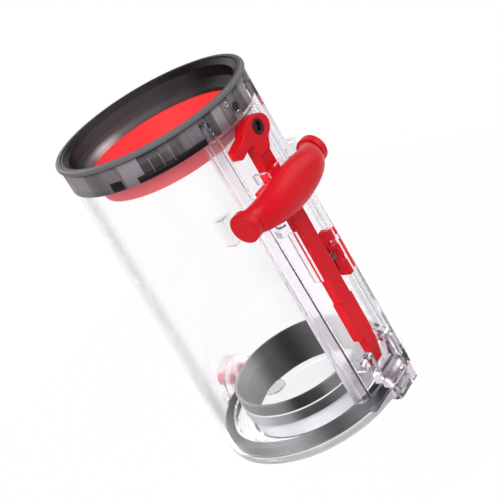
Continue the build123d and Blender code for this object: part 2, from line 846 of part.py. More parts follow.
# Clear flap: rim, seal rib, trough and boss in one turned section, with knuckles and keeper
with BuildPart() as base_flap:
    with BuildSketch(Plane.XZ):
        with BuildLine():
            Polyline(
                (0, 0),
                (flap_radius - flap_edge, 0),
                (flap_radius, flap_edge),
                (flap_radius, flap_thickness),
                (rib_radius, flap_thickness),
                (rib_radius, rib_top),
                (rib_radius - rib_thickness, rib_top),
                (rib_radius - rib_thickness, trough_floor),
                (trough_middle + trough_bead_width / 2, trough_floor),
                (trough_middle + trough_bead_width / 2, trough_bead_top),
                (trough_middle - trough_bead_width / 2, trough_bead_top),
                (trough_middle - trough_bead_width / 2, trough_floor),
                (boss_radius, trough_floor),
                (boss_radius, boss_top),
                (boss_bore, boss_top),
                (boss_bore, trough_floor),
                (0, trough_floor),
                close=True,
            )
        make_face()
    revolve(axis=Axis.Z)
    for side in (-1, 1):
        with BuildSketch(Plane.YZ.offset(hinge_x + side * (knuckle_inner + knuckle_width / 2))):
            with Locations(((rib_radius + hinge_reach) / 2, flap_thickness / 2)):
                Rectangle(hinge_reach - rib_radius, flap_thickness)
            with Locations((hinge_reach, hinge_height)):
                Circle(knuckle_radius)
                Circle(hinge_pin_radius + pin_gap, mode=Mode.SUBTRACT)
        extrude(amount=knuckle_width / 2, both=True)
    # Scalloped lug on the floor inside the cup ring, on the hinge side
    with BuildSketch(Plane.XY):
        with Locations((hinge_x, cup_bore - running_gap - floor_lug_radius / 2)):
            Circle(floor_lug_radius)
        Circle(cup_bore - running_gap, mode=Mode.INTERSECT)
    extrude(amount=floor_lug_top)
    # Keeper block at the front, outside the wall
    with BuildSketch(Plane.XY):
        with Locations((rod_x, -(rib_radius + keeper_reach) / 2)):
            block = Rectangle(keeper_width, keeper_reach - rib_radius)
        fillet(block.vertices().group_by(Axis.Y)[0], keeper_round)
    extrude(amount=flap_thickness)
    with BuildSketch(Plane.XY.offset(flap_thickness)):
        with Locations((rod_x, -(keeper_back + keeper_reach) / 2)):
            block = Rectangle(keeper_width, keeper_reach - keeper_back)
        fillet(block.vertices().group_by(Axis.Y)[0], keeper_round)
    extrude(amount=keeper_height - flap_thickness)
    with BuildSketch(front_plane(keeper_reach - keeper_window_depth)):
        with Locations((rod_x, (nose_low + nose_high) / 2)):
            Rectangle(keeper_window, nose_high - nose_low + 2 * window_gap)
    extrude(amount=2 * keeper_window_depth, mode=Mode.SUBTRACT)
base_flap.part.label = "base_flap"
export_step(base_flap.part, "parts/base_flap.step")

# Dark band round the flap's rib
with BuildPart() as flap_seal:
    with BuildSketch(Plane.XZ):
        ring(seal_radius - seal_width, seal_radius, flap_thickness, seal_top)
    revolve(axis=Axis.Z)
flap_seal.part.label = "flap_seal"
export_step(flap_seal.part, "parts/flap_seal.step")

# Dark cup ring that stands on the flap inside the boss
with BuildPart() as ring_cup:
    with BuildSketch(Plane.XZ):
        with BuildLine():
            Polyline(
                (cup_bore, trough_floor),
                (cup_bore + cup_thickness, trough_floor),
                (cup_bore + cup_thickness, gasket_top),
                (cup_radius, gasket_top),
                (cup_radius, cup_top),
                (cup_radius - cup_rim, cup_top),
                (cup_bore, gasket_top),
                close=True,
            )
        make_face()
    revolve(axis=Axis.Z)
    chamfer(ring_cup.edges().group_by(Axis.Z)[-1], cup_edge)
ring_cup.part.label = "ring_cup"
export_step(ring_cup.part, "parts/ring_cup.step")

# Dark lower band on the boss
with BuildPart() as ring_band:
    with BuildSketch(Plane.XZ):
        ring(boss_bore, boss_radius, boss_top, band_top)
    revolve(axis=Axis.Z)
ring_band.part.label = "ring_band"
export_step(ring_band.part, "parts/ring_band.step")

# Pale gasket: a lip between the two bands and a sleeve between the cup ring and the boss
with BuildPart() as ring_gasket:
    with BuildSketch(Plane.XZ):
        ring(gasket_bore, boss_radius, band_top, gasket_top)
        ring(gasket_bore, gasket_radius, trough_floor, gasket_top)
    revolve(axis=Axis.Z)
ring_gasket.part.label = "ring_gasket"
export_step(ring_gasket.part, "parts/ring_gasket.step")

# Steel pin of the flap
with BuildPart() as hinge_pin:
    with BuildSketch(Plane.YZ.offset(hinge_x - hood_width / 2)):
        with Locations((hinge_reach, hinge_height)):
            Circle(hinge_pin_radius)
    extrude(amount=hood_width)
hinge_pin.part.label = "hinge_pin"
export_step(hinge_pin.part, "parts/hinge_pin.step")

# Torsion spring on the hinge pin, with one leg up the wall and one down to the flap
hinge_coil = coil(
    Plane(
        origin=(hinge_x - hinge_spring_pitch * hinge_spring_turns / 2, hinge_reach, hinge_height),
        x_dir=(0, -1, 0),
        z_dir=(1, 0, 0),
    ),
    hinge_spring_radius,
    hinge_spring_wire,
    hinge_spring_pitch,
    hinge_spring_turns,
)
with BuildPart() as flap_spring:
    add(hinge_coil)
    leg_y = hinge_reach - hinge_spring_radius
    for leg_side, leg_length in ((-1, hinge_spring_leg), (1, -(hinge_height - 2 * hinge_spring_wire))):
        leg_x = hinge_x + leg_side * hinge_spring_pitch * hinge_spring_turns / 2
        with BuildSketch(Plane.XY.offset(hinge_height)):
            with Locations((leg_x, leg_y)):
                Circle(hinge_spring_wire)
        extrude(amount=leg_length)
flap_spring.part.label = "flap_spring"
export_step(flap_spring.part, "parts/flap_spring.step")

# Red plugs inside the hinge hood
plug_start = wall_radius(plug_height - plug_radius) + running_gap
with BuildPart() as hinge_plugs:
    with BuildSketch(Plane.XZ.offset(-plug_start)):
        with Locations((hinge_x, plug_height)):
            with GridLocations(plug_spacing, 0, 2, 1):
                Circle(plug_radius)
    extrude(amount=-(hood_depth - hood_wall - plug_start))
hinge_plugs.part.label = "hinge_plugs"
export_step(hinge_plugs.part, "parts/hinge_plugs.step")
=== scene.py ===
"""Dressed scene of a cyclone dust bin: clear mouldings, dark rings, red actuator and a white studio."""
import math

import bpy
from mathutils import Matrix, Vector


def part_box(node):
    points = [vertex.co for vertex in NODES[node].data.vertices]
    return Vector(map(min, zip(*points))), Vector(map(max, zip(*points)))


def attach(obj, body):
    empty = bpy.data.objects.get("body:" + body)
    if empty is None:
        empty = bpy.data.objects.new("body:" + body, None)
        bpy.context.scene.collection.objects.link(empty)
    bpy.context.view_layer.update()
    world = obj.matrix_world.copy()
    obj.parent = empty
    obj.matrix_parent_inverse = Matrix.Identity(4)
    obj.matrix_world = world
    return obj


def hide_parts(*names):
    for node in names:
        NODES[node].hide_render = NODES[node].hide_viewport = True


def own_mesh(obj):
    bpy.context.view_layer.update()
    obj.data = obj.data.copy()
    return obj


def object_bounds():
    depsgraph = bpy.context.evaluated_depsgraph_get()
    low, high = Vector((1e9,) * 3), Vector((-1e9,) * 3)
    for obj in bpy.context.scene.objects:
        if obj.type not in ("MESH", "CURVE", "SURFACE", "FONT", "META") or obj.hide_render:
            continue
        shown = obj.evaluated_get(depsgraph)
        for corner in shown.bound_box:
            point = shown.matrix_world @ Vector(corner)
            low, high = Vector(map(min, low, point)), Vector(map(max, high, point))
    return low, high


bl_info = {
    "name": "Cyclone Dust Bin Dressing",
    "version": (1, 0, 0),
    "blender": (4, 5, 0),
    "location": "View3D > Sidebar > Dust Bin",
    "description": "Finishes, small fittings and studio stage for a clear cyclone dust bin",
    "category": "3D View",
}

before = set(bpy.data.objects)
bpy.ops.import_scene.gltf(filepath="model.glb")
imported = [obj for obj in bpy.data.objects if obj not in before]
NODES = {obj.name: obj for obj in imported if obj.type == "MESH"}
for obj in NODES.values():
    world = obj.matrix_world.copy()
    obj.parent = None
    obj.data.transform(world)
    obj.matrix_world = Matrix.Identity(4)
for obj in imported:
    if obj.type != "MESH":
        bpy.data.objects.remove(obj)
CAD_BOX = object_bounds()

# Radius of a collar screw's head, in metres as all sizes here
SCREW_HEAD = 0.0026

# Depth from the rod's back to the back of the channel's floor
FLOOR_BEHIND_ROD = 0.0055

# Y at which the rails' side of the wall starts
FRONT_SIDE = -0.03

# Thickness of a flat ring round a screw or a pin
RING = 0.0002

# Belt plates: thickness, and how far each layer stands from the funnel ring's outside
PLATE = 0.0001
ON_RING = 0.00015
ON_PLATES = 0.00045
BEHIND_RAILS = -0.00315

# Tones that change from plate to plate
TONE_NAME = "plate_tone"
TONE_SEED = 260

# Depth of a moulding's grain in metres, and how much its gloss varies
GRAIN_DEPTH = 0.0002
UNEVEN_GLOSS = 0.25

# Where a blend of two colours leaves the first and reaches the second
BLEND_ENDS = (0.3, 0.7)

# Spacing of the nodes in a tree
COLUMN_WIDTH = 220
ROW_HEIGHT = 200


# Helpers for node trees

def connect(tree, value, target):
    """Feeds an input from a socket, or sets it to a plain value."""
    if isinstance(value, bpy.types.NodeSocket):
        tree.links.new(value, target)
    else:
        target.default_value = value


def add_node(tree, kind, settings=(), **inputs):
    """Node of a kind with its settings, and its inputs by name: sockets are linked and values are set."""
    node = tree.nodes.new(kind)
    for key, value in dict(settings).items():
        setattr(node, key, value)
    for key, value in inputs.items():
        connect(tree, value, node.inputs[key.replace("_", " ")])
    return node


def lay_out(tree):
    """Sets the nodes in columns, each to the left of the nodes that it feeds."""
    links = [(link.from_node.name, link.to_node.name) for link in tree.links]
    columns = {node.name: 0 for node in tree.nodes}
    for _ in tree.nodes:
        for source, target in links:
            columns[source] = max(columns[source], columns[target] + 1)
    rows = {}
    for node in tree.nodes:
        column = columns[node.name]
        rows[column] = rows.get(column, 0) + 1
        node.location = (-COLUMN_WIDTH * column, -ROW_HEIGHT * rows[column])


def new_material(name):
    """New material with an empty node tree."""
    material = bpy.data.materials.new(name)
    material.use_nodes = True
    material.node_tree.nodes.clear()
    return material, material.node_tree


def finished(material, shader):
    """Material whose output shows a shader, with its nodes laid out."""
    add_node(material.node_tree, "ShaderNodeOutputMaterial", Surface=shader)
    lay_out(material.node_tree)
    return material


def principled(tree, **inputs):
    """Plain surface shader with its inputs by name."""
    return add_node(tree, "ShaderNodeBsdfPrincipled", **inputs).outputs["BSDF"]


def combined(tree, operation, first, *others):
    """Result of a Math operation on sockets or plain numbers, taken two at a time from the left."""
    for other in others:
        node = tree.nodes.new("ShaderNodeMath")
        node.operation = operation
        connect(tree, first, node.inputs[0])
        connect(tree, other, node.inputs[1])
        first = node.outputs["Value"]
    return first


def squared_distance(tree, first, second):
    """Square of the distance from an axis, out of two coordinates across it."""
    first_square = combined(tree, "MULTIPLY", first, first)
    second_square = combined(tree, "MULTIPLY", second, second)
    return combined(tree, "ADD", first_square, second_square)


def distance_from(tree, value, middle):
    """Distance of a coordinate from a middle, on either side."""
    return combined(tree, "ABSOLUTE", combined(tree, "SUBTRACT", value, middle), 0.0)


def fade(tree, source, outside, inside):
    """0 at one value and 1 at another, with a smooth change between."""
    smooth = {"interpolation_type": "SMOOTHSTEP"}
    node = add_node(tree, "ShaderNodeMapRange", smooth, Value=source, From_Min=outside, From_Max=inside)
    return node.outputs["Result"]


def spread(tree, source, low, high):
    """Maps a 0 to 1 value into a range."""
    return add_node(tree, "ShaderNodeMapRange", Value=source, To_Min=low, To_Max=high).outputs["Result"]


def uneven(tree, source, middle, share):
    """Maps a 0 to 1 value into a range that reaches a share below and above its middle."""
    return spread(tree, source, middle * (1.0 - share), middle * (1.0 + share))


def two_tone(tree, source, dark, light):
    """Blends two colours by a 0 to 1 value, with both ends held for a while."""
    ramp = add_node(tree, "ShaderNodeValToRGB", Fac=source)
    for element, place, colour in zip(ramp.color_ramp.elements, BLEND_ENDS, (dark, light)):
        element.position = place
        element.color = (*colour, 1.0)
    return ramp.outputs["Color"]


def mixed_colour(tree, share, first, second):
    """Blend of two colours, each a socket or red, green and blue."""
    ends = [end if isinstance(end, bpy.types.NodeSocket) else (*end, 1.0) for end in (first, second)]
    node = add_node(tree, "ShaderNodeMix", {"data_type": "RGBA"}, Factor=share, A=ends[0], B=ends[1])
    return node.outputs["Result"]


def mixed_shader(tree, share, first, second):
    """Blend of two shaders by a share."""
    node = add_node(tree, "ShaderNodeMixShader", Fac=share)
    tree.links.new(first, node.inputs[1])
    tree.links.new(second, node.inputs[2])
    return node.outputs["Shader"]


def object_place(tree):
    """Object coordinates."""
    return tree.nodes.new("ShaderNodeTexCoord").outputs["Object"]


def object_axes(tree):
    """Outputs X, Y and Z of the Object coordinates."""
    return add_node(tree, "ShaderNodeSeparateXYZ", Vector=object_place(tree)).outputs


def object_noise(tree, scale, detail, stretch=(1.0, 1.0, 1.0)):
    """Noise on Object coordinates, stretched along the bin's axes."""
    mapping = add_node(tree, "ShaderNodeMapping", Vector=object_place(tree), Scale=stretch)
    noise = add_node(tree, "ShaderNodeTexNoise", Vector=mapping.outputs["Vector"], Scale=scale, Detail=detail)
    return noise.outputs["Fac"]


def bump(tree, source, strength, distance=GRAIN_DEPTH):
    """Surface relief from a value."""
    node = add_node(tree, "ShaderNodeBump", Strength=strength, Distance=distance, Height=source)
    return node.outputs["Normal"]


# Zones of the clear mouldings: each is 1 in its own place and 0 elsewhere

def channel_zone(tree):
    """The rail's channel."""
    axes = object_axes(tree)
    floor_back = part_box("push_rod")[1].y + FLOOR_BEHIND_ROD
    half_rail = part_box("release_button")[1].x
    soft = 0.001
    square_x = combined(tree, "MULTIPLY", axes["X"], axes["X"])
    across = fade(tree, square_x, outside=(half_rail + soft) ** 2, inside=half_rail ** 2)
    front = fade(tree, axes["Y"], outside=floor_back + soft, inside=floor_back)
    return combined(tree, "MULTIPLY", across, front)


def channel_floor_zone(tree):
    """The flat floor of the channel."""
    floor_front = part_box("rod_guide")[1].y
    near = fade(tree, object_axes(tree)["Y"], outside=floor_front - 0.0004, inside=floor_front - 0.0001)
    return combined(tree, "MULTIPLY", channel_zone(tree), near)


def block_zone(tree):
    """The two stop blocks behind the lever's ends, where painted shade greys the clear plastic."""
    axes = object_axes(tree)
    low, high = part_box("bin_lever")
    overlap = 0.0133
    inner_end = high.x - overlap
    wall_radius = 0.0588
    half_height = 0.0086
    across = fade(tree, distance_from(tree, axes["X"], 0.0), outside=inner_end, inside=inner_end + 0.0002)
    away = squared_distance(tree, axes["X"], axes["Y"])
    proud = fade(tree, away, outside=wall_radius ** 2, inside=(wall_radius + 0.0004) ** 2)
    rise = distance_from(tree, axes["Z"], (low.z + high.z) / 2)
    level = fade(tree, rise, outside=half_height + 0.0002, inside=half_height)
    front = fade(tree, axes["Y"], outside=FRONT_SIDE, inside=FRONT_SIDE - 0.002)
    return combined(tree, "MULTIPLY", across, level, proud, front)


def rail_shade_zone(tree):
    """Painted shade on the wall beside the rails, growing towards them."""
    axes = object_axes(tree)
    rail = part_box("release_button")[1].x
    shade_width, shade_depth = 0.014, 0.01
    across = fade(tree, distance_from(tree, axes["X"], 0.0), outside=rail + shade_width, inside=rail)
    front = fade(tree, axes["Y"], outside=FRONT_SIDE, inside=FRONT_SIDE - shade_depth)
    return combined(tree, "MULTIPLY", across, front)


def hood_zone(tree):
    """The round hinge hood and the wall in front of it."""
    axes = object_axes(tree)
    low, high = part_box("hinge_plugs")
    middle = (low + high) / 2
    drop = 0.005
    hood_radius, full_radius = 0.0172, 0.0125
    away_x = combined(tree, "SUBTRACT", axes["X"], middle.x)
    away_z = combined(tree, "SUBTRACT", axes["Z"], middle.z - drop)
    away = squared_distance(tree, away_x, away_z)
    round_part = fade(tree, away, outside=hood_radius ** 2, inside=full_radius ** 2)
    back = fade(tree, axes["Y"], outside=low.y - 0.012, inside=low.y - 0.008)
    return combined(tree, "MULTIPLY", round_part, back)


def keeper_zone(tree):
    """The flap's keeper block in front of the rails, where painted shade greys the clear plastic."""
    catch_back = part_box("latch_catch")[1].y
    return fade(tree, object_axes(tree)["Y"], outside=catch_back - 0.0024, inside=catch_back - 0.0032)


def flap_rim_zone(tree):
    """The flap's plate outside the seal's foot."""
    axes = object_axes(tree)
    low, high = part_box("flap_seal")
    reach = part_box("base_flap")[1].x
    away = squared_distance(tree, axes["X"], axes["Y"])
    beyond_seal = fade(tree, away, outside=(high.x - 0.002) ** 2, inside=high.x ** 2)
    round_part = fade(tree, away, outside=(reach + 0.0006) ** 2, inside=(reach + 0.0002) ** 2)
    plate = fade(tree, axes["Z"], outside=low.z + 0.0006, inside=low.z + 0.0002)
    return combined(tree, "MULTIPLY", beyond_seal, round_part, plate)


def lug_zone(tree):
    """The raised lug of the flap's floor, where painted shade greys the clear plastic."""
    axes = object_axes(tree)
    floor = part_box("ring_cup")[0].z
    floor_radius = 0.0381
    away = squared_distance(tree, axes["X"], axes["Y"])
    on_floor = fade(tree, away, outside=floor_radius ** 2, inside=(floor_radius - 0.0003) ** 2)
    raised = fade(tree, axes["Z"], outside=floor + 0.0003, inside=floor + 0.0006)
    return combined(tree, "MULTIPLY", on_floor, raised)


# Materials

def clear_plastic(name, look, haze, relief, tint, edge, edge_zone=None, zones=(), clouds=()):
    """Clear moulding that lets lamps through, with tints, painted shade and clouds in zones, and a painted
    shade where its faces are seen along them.
    """
    material, tree = new_material(name)
    # Tints by zone: the lilac of the channel and the flap is the plastic's own colour, the grey zones are
    # painted shade
    for zone, zone_tint in zones:
        tint = mixed_colour(tree, zone(tree), tint, zone_tint)
    if edge_zone:
        edge = two_tone(tree, edge_zone(tree), edge, look.clear_shade_at_edges)
    # Painted shade: the colour turns to the edge colour where a face is seen along it, in the glass and in
    # the light that goes straight through
    slant = add_node(tree, "ShaderNodeLayerWeight", Blend=0.5).outputs["Facing"]
    tone = mixed_colour(tree, fade(tree, slant, outside=0.45, inside=1.0), tint, edge)
    drift = object_noise(tree, scale=60.0, detail=3.0)
    lines = object_noise(tree, scale=40.0, detail=1.0, stretch=(1.0, 1.0, 0.15))
    shader = principled(
        tree, Base_Color=tone, Transmission_Weight=1.0, IOR=look.clear_ior,
        Roughness=uneven(tree, drift, haze, share=0.6), Normal=bump(tree, lines, relief, distance=0.0004))
    if clouds:
        frost = add_node(tree, "ShaderNodeBsdfTranslucent", Color=(0.86, 0.86, 0.87, 1.0)).outputs["BSDF"]
        parts = [combined(tree, "MULTIPLY", zone(tree), share) for zone, share in clouds]
        shader = mixed_shader(tree, combined(tree, "MAXIMUM", *parts), shader, frost)
    shadow = tree.nodes.new("ShaderNodeLightPath").outputs["Is Shadow Ray"]
    slanted = combined(tree, "MULTIPLY", fade(tree, slant, outside=0.5, inside=0.9), look.clear_straight)
    straight = combined(tree, "MAXIMUM", shadow, slanted)
    open_way = add_node(tree, "ShaderNodeBsdfTransparent", Color=tone).outputs["BSDF"]
    return finished(material, mixed_shader(tree, straight, shader, open_way))


def moulded(name, colour, vary, roughness, grain=900.0, relief=0.04, specular=0.5):
    """Moulded plastic or rubber: slow colour drift, uneven gloss and a fine grain."""
    material, tree = new_material(name)
    dark = [part * (1.0 - vary) for part in colour]
    light = [min(1.0, part * (1.0 + vary)) for part in colour]
    drift = object_noise(tree, scale=28.0, detail=3.0)
    gloss = object_noise(tree, scale=90.0, detail=4.0)
    fine = object_noise(tree, scale=grain, detail=2.0)
    return finished(material, principled(
        tree, Base_Color=two_tone(tree, drift, dark, light), Specular_IOR_Level=specular,
        Roughness=uneven(tree, gloss, roughness, UNEVEN_GLOSS), Normal=bump(tree, fine, relief)))


def steel(name, colour, roughness):
    """Drawn or ground steel with fine marks along its length."""
    material, tree = new_material(name)
    mark_tone = 0.8
    dark = [part * mark_tone for part in colour]
    marks = object_noise(tree, scale=700.0, detail=4.0, stretch=(0.1, 1.0, 1.0))
    return finished(material, principled(
        tree, Metallic=1.0, Base_Color=two_tone(tree, marks, dark, colour),
        Roughness=uneven(tree, marks, roughness, share=0.3)))


def painted_sheen_by_angle(tree, tones, hue, facing):
    """Painted sheen, highlights and shade: tone by the angle round the bin's axis, standing in for the sheen
    of turned and polished plastic.
    """
    mapping = add_node(tree, "ShaderNodeMapping", Vector=object_place(tree), Rotation=(0.0, 0.0, -facing))
    axes = add_node(tree, "ShaderNodeSeparateXYZ", Vector=mapping.outputs["Vector"]).outputs
    angle = combined(tree, "ARCTAN2", axes["Y"], axes["X"])
    share = add_node(tree, "ShaderNodeMapRange", Value=angle, From_Min=-math.pi, From_Max=math.pi)
    ramp = add_node(tree, "ShaderNodeValToRGB", Fac=share.outputs["Result"])
    ramp.color_ramp.interpolation = "EASE"
    elements = ramp.color_ramp.elements
    for place, _ in tones[2:]:
        elements.new(place)
    for element, (place, tone) in zip(elements, sorted(tones)):
        element.position = place
        element.color = (*(tone * part for part in hue), 1.0)
    return ramp.outputs["Color"]


def sheen_painted_finish(name, tones, facing, roughness, specular, hue=(1.0, 1.0, 1.03), levels=()):
    """Plastic or rubber with painted sheen, highlights and shade that change round the ring, and from level
    to level.
    """
    material, tree = new_material(name)
    colour = painted_sheen_by_angle(tree, tones, hue, facing)
    for start, full, level_tones in levels:
        share = fade(tree, object_axes(tree)["Z"], start, full)
        colour = mixed_colour(tree, share, colour, painted_sheen_by_angle(tree, level_tones, hue, facing))
    gloss = object_noise(tree, scale=120.0, detail=4.0, stretch=(1.0, 1.0, 8.0))
    return finished(material, principled(
        tree, Base_Color=colour, Specular_IOR_Level=specular,
        Roughness=uneven(tree, gloss, roughness, UNEVEN_GLOSS), Normal=bump(tree, gloss, strength=0.05)))


def ring_material(name, node, inner, outer, depth, half, lean):
    """Rubber ring with one colour inside and another outside a radius that may lean outwards with height, the
    step between them painted light and shade.
    """
    material, tree = new_material(name)
    axes = object_axes(tree)
    low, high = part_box(node)
    away = combined(tree, "POWER", squared_distance(tree, axes["X"], axes["Y"]), 0.5)
    rise = combined(tree, "SUBTRACT", axes["Z"], low.z)
    wall_radius = combined(tree, "SUBTRACT", away, combined(tree, "MULTIPLY", rise, lean))
    middle = high.x - depth
    beyond = fade(tree, wall_radius, middle - half, middle + half)
    grain = object_noise(tree, scale=1400.0, detail=2.0)
    return finished(material, principled(
        tree, Base_Color=two_tone(tree, beyond, inner, outer), Specular_IOR_Level=0.3,
        Roughness=spread(tree, grain, low=0.4, high=0.7), Normal=bump(tree, grain, strength=0.04)))


def plate_material(name, dark, light):
    """Smoky plate whose tone changes from plate to plate and drifts up its height."""
    material, tree = new_material(name)
    tone = add_node(tree, "ShaderNodeAttribute", {"attribute_name": TONE_NAME}).outputs["Fac"]
    streaks = object_noise(tree, scale=420.0, detail=3.0, stretch=(1.0, 1.0, 0.12))
    plate_share, streak_share = 0.6, 0.35
    plate_part = combined(tree, "MULTIPLY", tone, plate_share)
    streak_part = combined(tree, "MULTIPLY", streaks, streak_share)
    blend = combined(tree, "ADD", plate_part, streak_part)
    return finished(material, principled(
        tree, Base_Color=two_tone(tree, blend, dark, light), Roughness=0.35, Specular_IOR_Level=0.15))


def seen_directly(tree):
    """1 for camera rays, for rays through clear plastic and for rays off gloss, and 0 for the rest."""
    path = tree.nodes.new("ShaderNodeLightPath").outputs
    rays = [path[kind] for kind in ("Is Camera Ray", "Is Transmission Ray", "Is Glossy Ray")]
    return combined(tree, "MAXIMUM", *rays)


def floor_material():
    """Pale floor that looks white when seen directly, keeps the shadow and is clear from below."""
    material, tree = new_material("pale floor")
    paint = add_node(tree, "ShaderNodeBsdfDiffuse", Color=(0.92, 0.92, 0.92, 1.0)).outputs["BSDF"]
    glow = tree.nodes.new("ShaderNodeEmission").outputs["Emission"]
    white_share = 0.9
    white = combined(tree, "MULTIPLY", seen_directly(tree), white_share)
    above = mixed_shader(tree, white, paint, glow)
    clear = tree.nodes.new("ShaderNodeBsdfTransparent").outputs["BSDF"]
    below = tree.nodes.new("ShaderNodeNewGeometry").outputs["Backfacing"]
    return finished(material, mixed_shader(tree, below, above, clear))


def dress(material, *nodes):
    """Puts a material on every slot of CAD nodes' objects."""
    for node in nodes:
        for slot in NODES[node].material_slots:
            slot.material = material


# Geometry Nodes for what repeats

def open_group(name, **inputs):
    """New tree with one geometry output and named inputs, the last of them the finish."""
    group = bpy.data.node_groups.new(name, "GeometryNodeTree")
    group.interface.new_socket("Geometry", in_out="OUTPUT", socket_type="NodeSocketGeometry")
    for label, kind in (*inputs.items(), ("Finish", "Material")):
        group.interface.new_socket(label, in_out="INPUT", socket_type="NodeSocket" + kind)
    return group, group.nodes.new("NodeGroupInput").outputs


def close_group(group, given, pieces):
    """Ends a tree with real pieces in the given finish, and lays its nodes out."""
    real = add_node(group, "GeometryNodeRealizeInstances", Geometry=pieces)
    finish = add_node(
        group, "GeometryNodeSetMaterial", Geometry=real.outputs["Geometry"], Material=given["Finish"])
    add_node(group, "NodeGroupOutput", Geometry=finish.outputs["Geometry"])
    lay_out(group)
    return group


def swept(group, path, outline, caps):
    """Mesh of an outline swept along a path, both given as curve nodes."""
    node = add_node(
        group, "GeometryNodeCurveToMesh", Curve=path.outputs["Curve"], Profile_Curve=outline.outputs["Curve"],
        Fill_Caps=caps)
    return node.outputs["Mesh"]


def panel_group():
    """Curved plates set round the bin's axis at a steady step."""
    group, given = open_group(
        "belt plates", Count="Int", Step="Float", Start="Float", Sweep="Float", Radius="Float",
        Height="Float", Thickness="Float", Middle="Float", Seed="Int")
    arc = add_node(
        group, "GeometryNodeCurveArc", Resolution=12, Radius=given["Radius"], Start_Angle=given["Start"],
        Sweep_Angle=given["Sweep"])
    outline = add_node(
        group, "GeometryNodeCurvePrimitiveQuadrilateral", Width=given["Thickness"], Height=given["Height"])
    lift = add_node(group, "ShaderNodeCombineXYZ", Z=given["Middle"])
    plate = add_node(
        group, "GeometryNodeTransform", Geometry=swept(group, arc, outline, True),
        Translation=lift.outputs["Vector"])
    points = add_node(group, "GeometryNodePoints", Count=given["Count"])
    index = group.nodes.new("GeometryNodeInputIndex").outputs["Index"]
    turn = add_node(group, "ShaderNodeCombineXYZ", Z=combined(group, "MULTIPLY", index, given["Step"]))
    rotation = add_node(group, "FunctionNodeEulerToRotation", Euler=turn.outputs["Vector"])
    plates = add_node(
        group, "GeometryNodeInstanceOnPoints", Points=points.outputs["Points"],
        Instance=plate.outputs["Geometry"], Rotation=rotation.outputs["Rotation"])
    tone = add_node(group, "FunctionNodeRandomValue", Seed=given["Seed"])
    toned = add_node(
        group, "GeometryNodeStoreNamedAttribute", {"data_type": "FLOAT", "domain": "INSTANCE"},
        Geometry=plates.outputs["Instances"], Name=TONE_NAME, Value=tone.outputs[1])
    return close_group(group, given, toned.outputs["Geometry"])


def ring_group():
    """Flat rings at a steady step along a line, each facing along Y."""
    group, given = open_group(
        "flat rings", Count="Int", First="Vector", Step="Vector", Radius="Float", Width="Float",
        Thickness="Float")
    path = add_node(group, "GeometryNodeCurvePrimitiveCircle", Resolution=40, Radius=given["Radius"])
    outline = add_node(
        group, "GeometryNodeCurvePrimitiveQuadrilateral", Width=given["Width"], Height=given["Thickness"])
    upright = add_node(
        group, "GeometryNodeTransform", Geometry=swept(group, path, outline, False),
        Rotation=(math.pi / 2, 0.0, 0.0))
    places = add_node(
        group, "GeometryNodeMeshLine", Count=given["Count"], Start_Location=given["First"],
        Offset=given["Step"])
    rings = add_node(
        group, "GeometryNodeInstanceOnPoints", Points=places.outputs["Mesh"],
        Instance=upright.outputs["Geometry"])
    return close_group(group, given, rings.outputs["Instances"])


def coil_group():
    """Wire coil of steady pitch, laid from a place along a direction."""
    group, given = open_group(
        "wire coil", Turns="Float", Radius="Float", Length="Float", Wire="Float", Place="Vector",
        Lean="Vector")
    path = add_node(
        group, "GeometryNodeCurveSpiral", Resolution=24, Rotations=given["Turns"],
        Start_Radius=given["Radius"], End_Radius=given["Radius"], Height=given["Length"])
    outline = add_node(group, "GeometryNodeCurvePrimitiveCircle", Resolution=10, Radius=given["Wire"])
    smooth = add_node(group, "GeometryNodeSetShadeSmooth", Geometry=swept(group, path, outline, True))
    lean = add_node(group, "FunctionNodeEulerToRotation", Euler=given["Lean"])
    laid = add_node(
        group, "GeometryNodeTransform", Geometry=smooth.outputs["Geometry"], Translation=given["Place"],
        Rotation=lean.outputs["Rotation"])
    return close_group(group, given, laid.outputs["Geometry"])


def grown(name, group, body, values):
    """Plain mesh object made by a node group from named values, riding on a body."""
    item = bpy.data.objects.new(name, bpy.data.meshes.new(name))
    bpy.context.scene.collection.objects.link(item)
    modifier = item.modifiers.new(name, "NODES")
    modifier.node_group = group
    for socket in group.interface.items_tree:
        if socket.in_out == "INPUT":
            modifier[socket.identifier] = values[socket.name]
    depsgraph = bpy.context.evaluated_depsgraph_get()
    mesh = bpy.data.meshes.new_from_object(item.evaluated_get(depsgraph))
    item.modifiers.remove(modifier)
    item.data = mesh
    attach(item, body)
    return item


# Added pieces

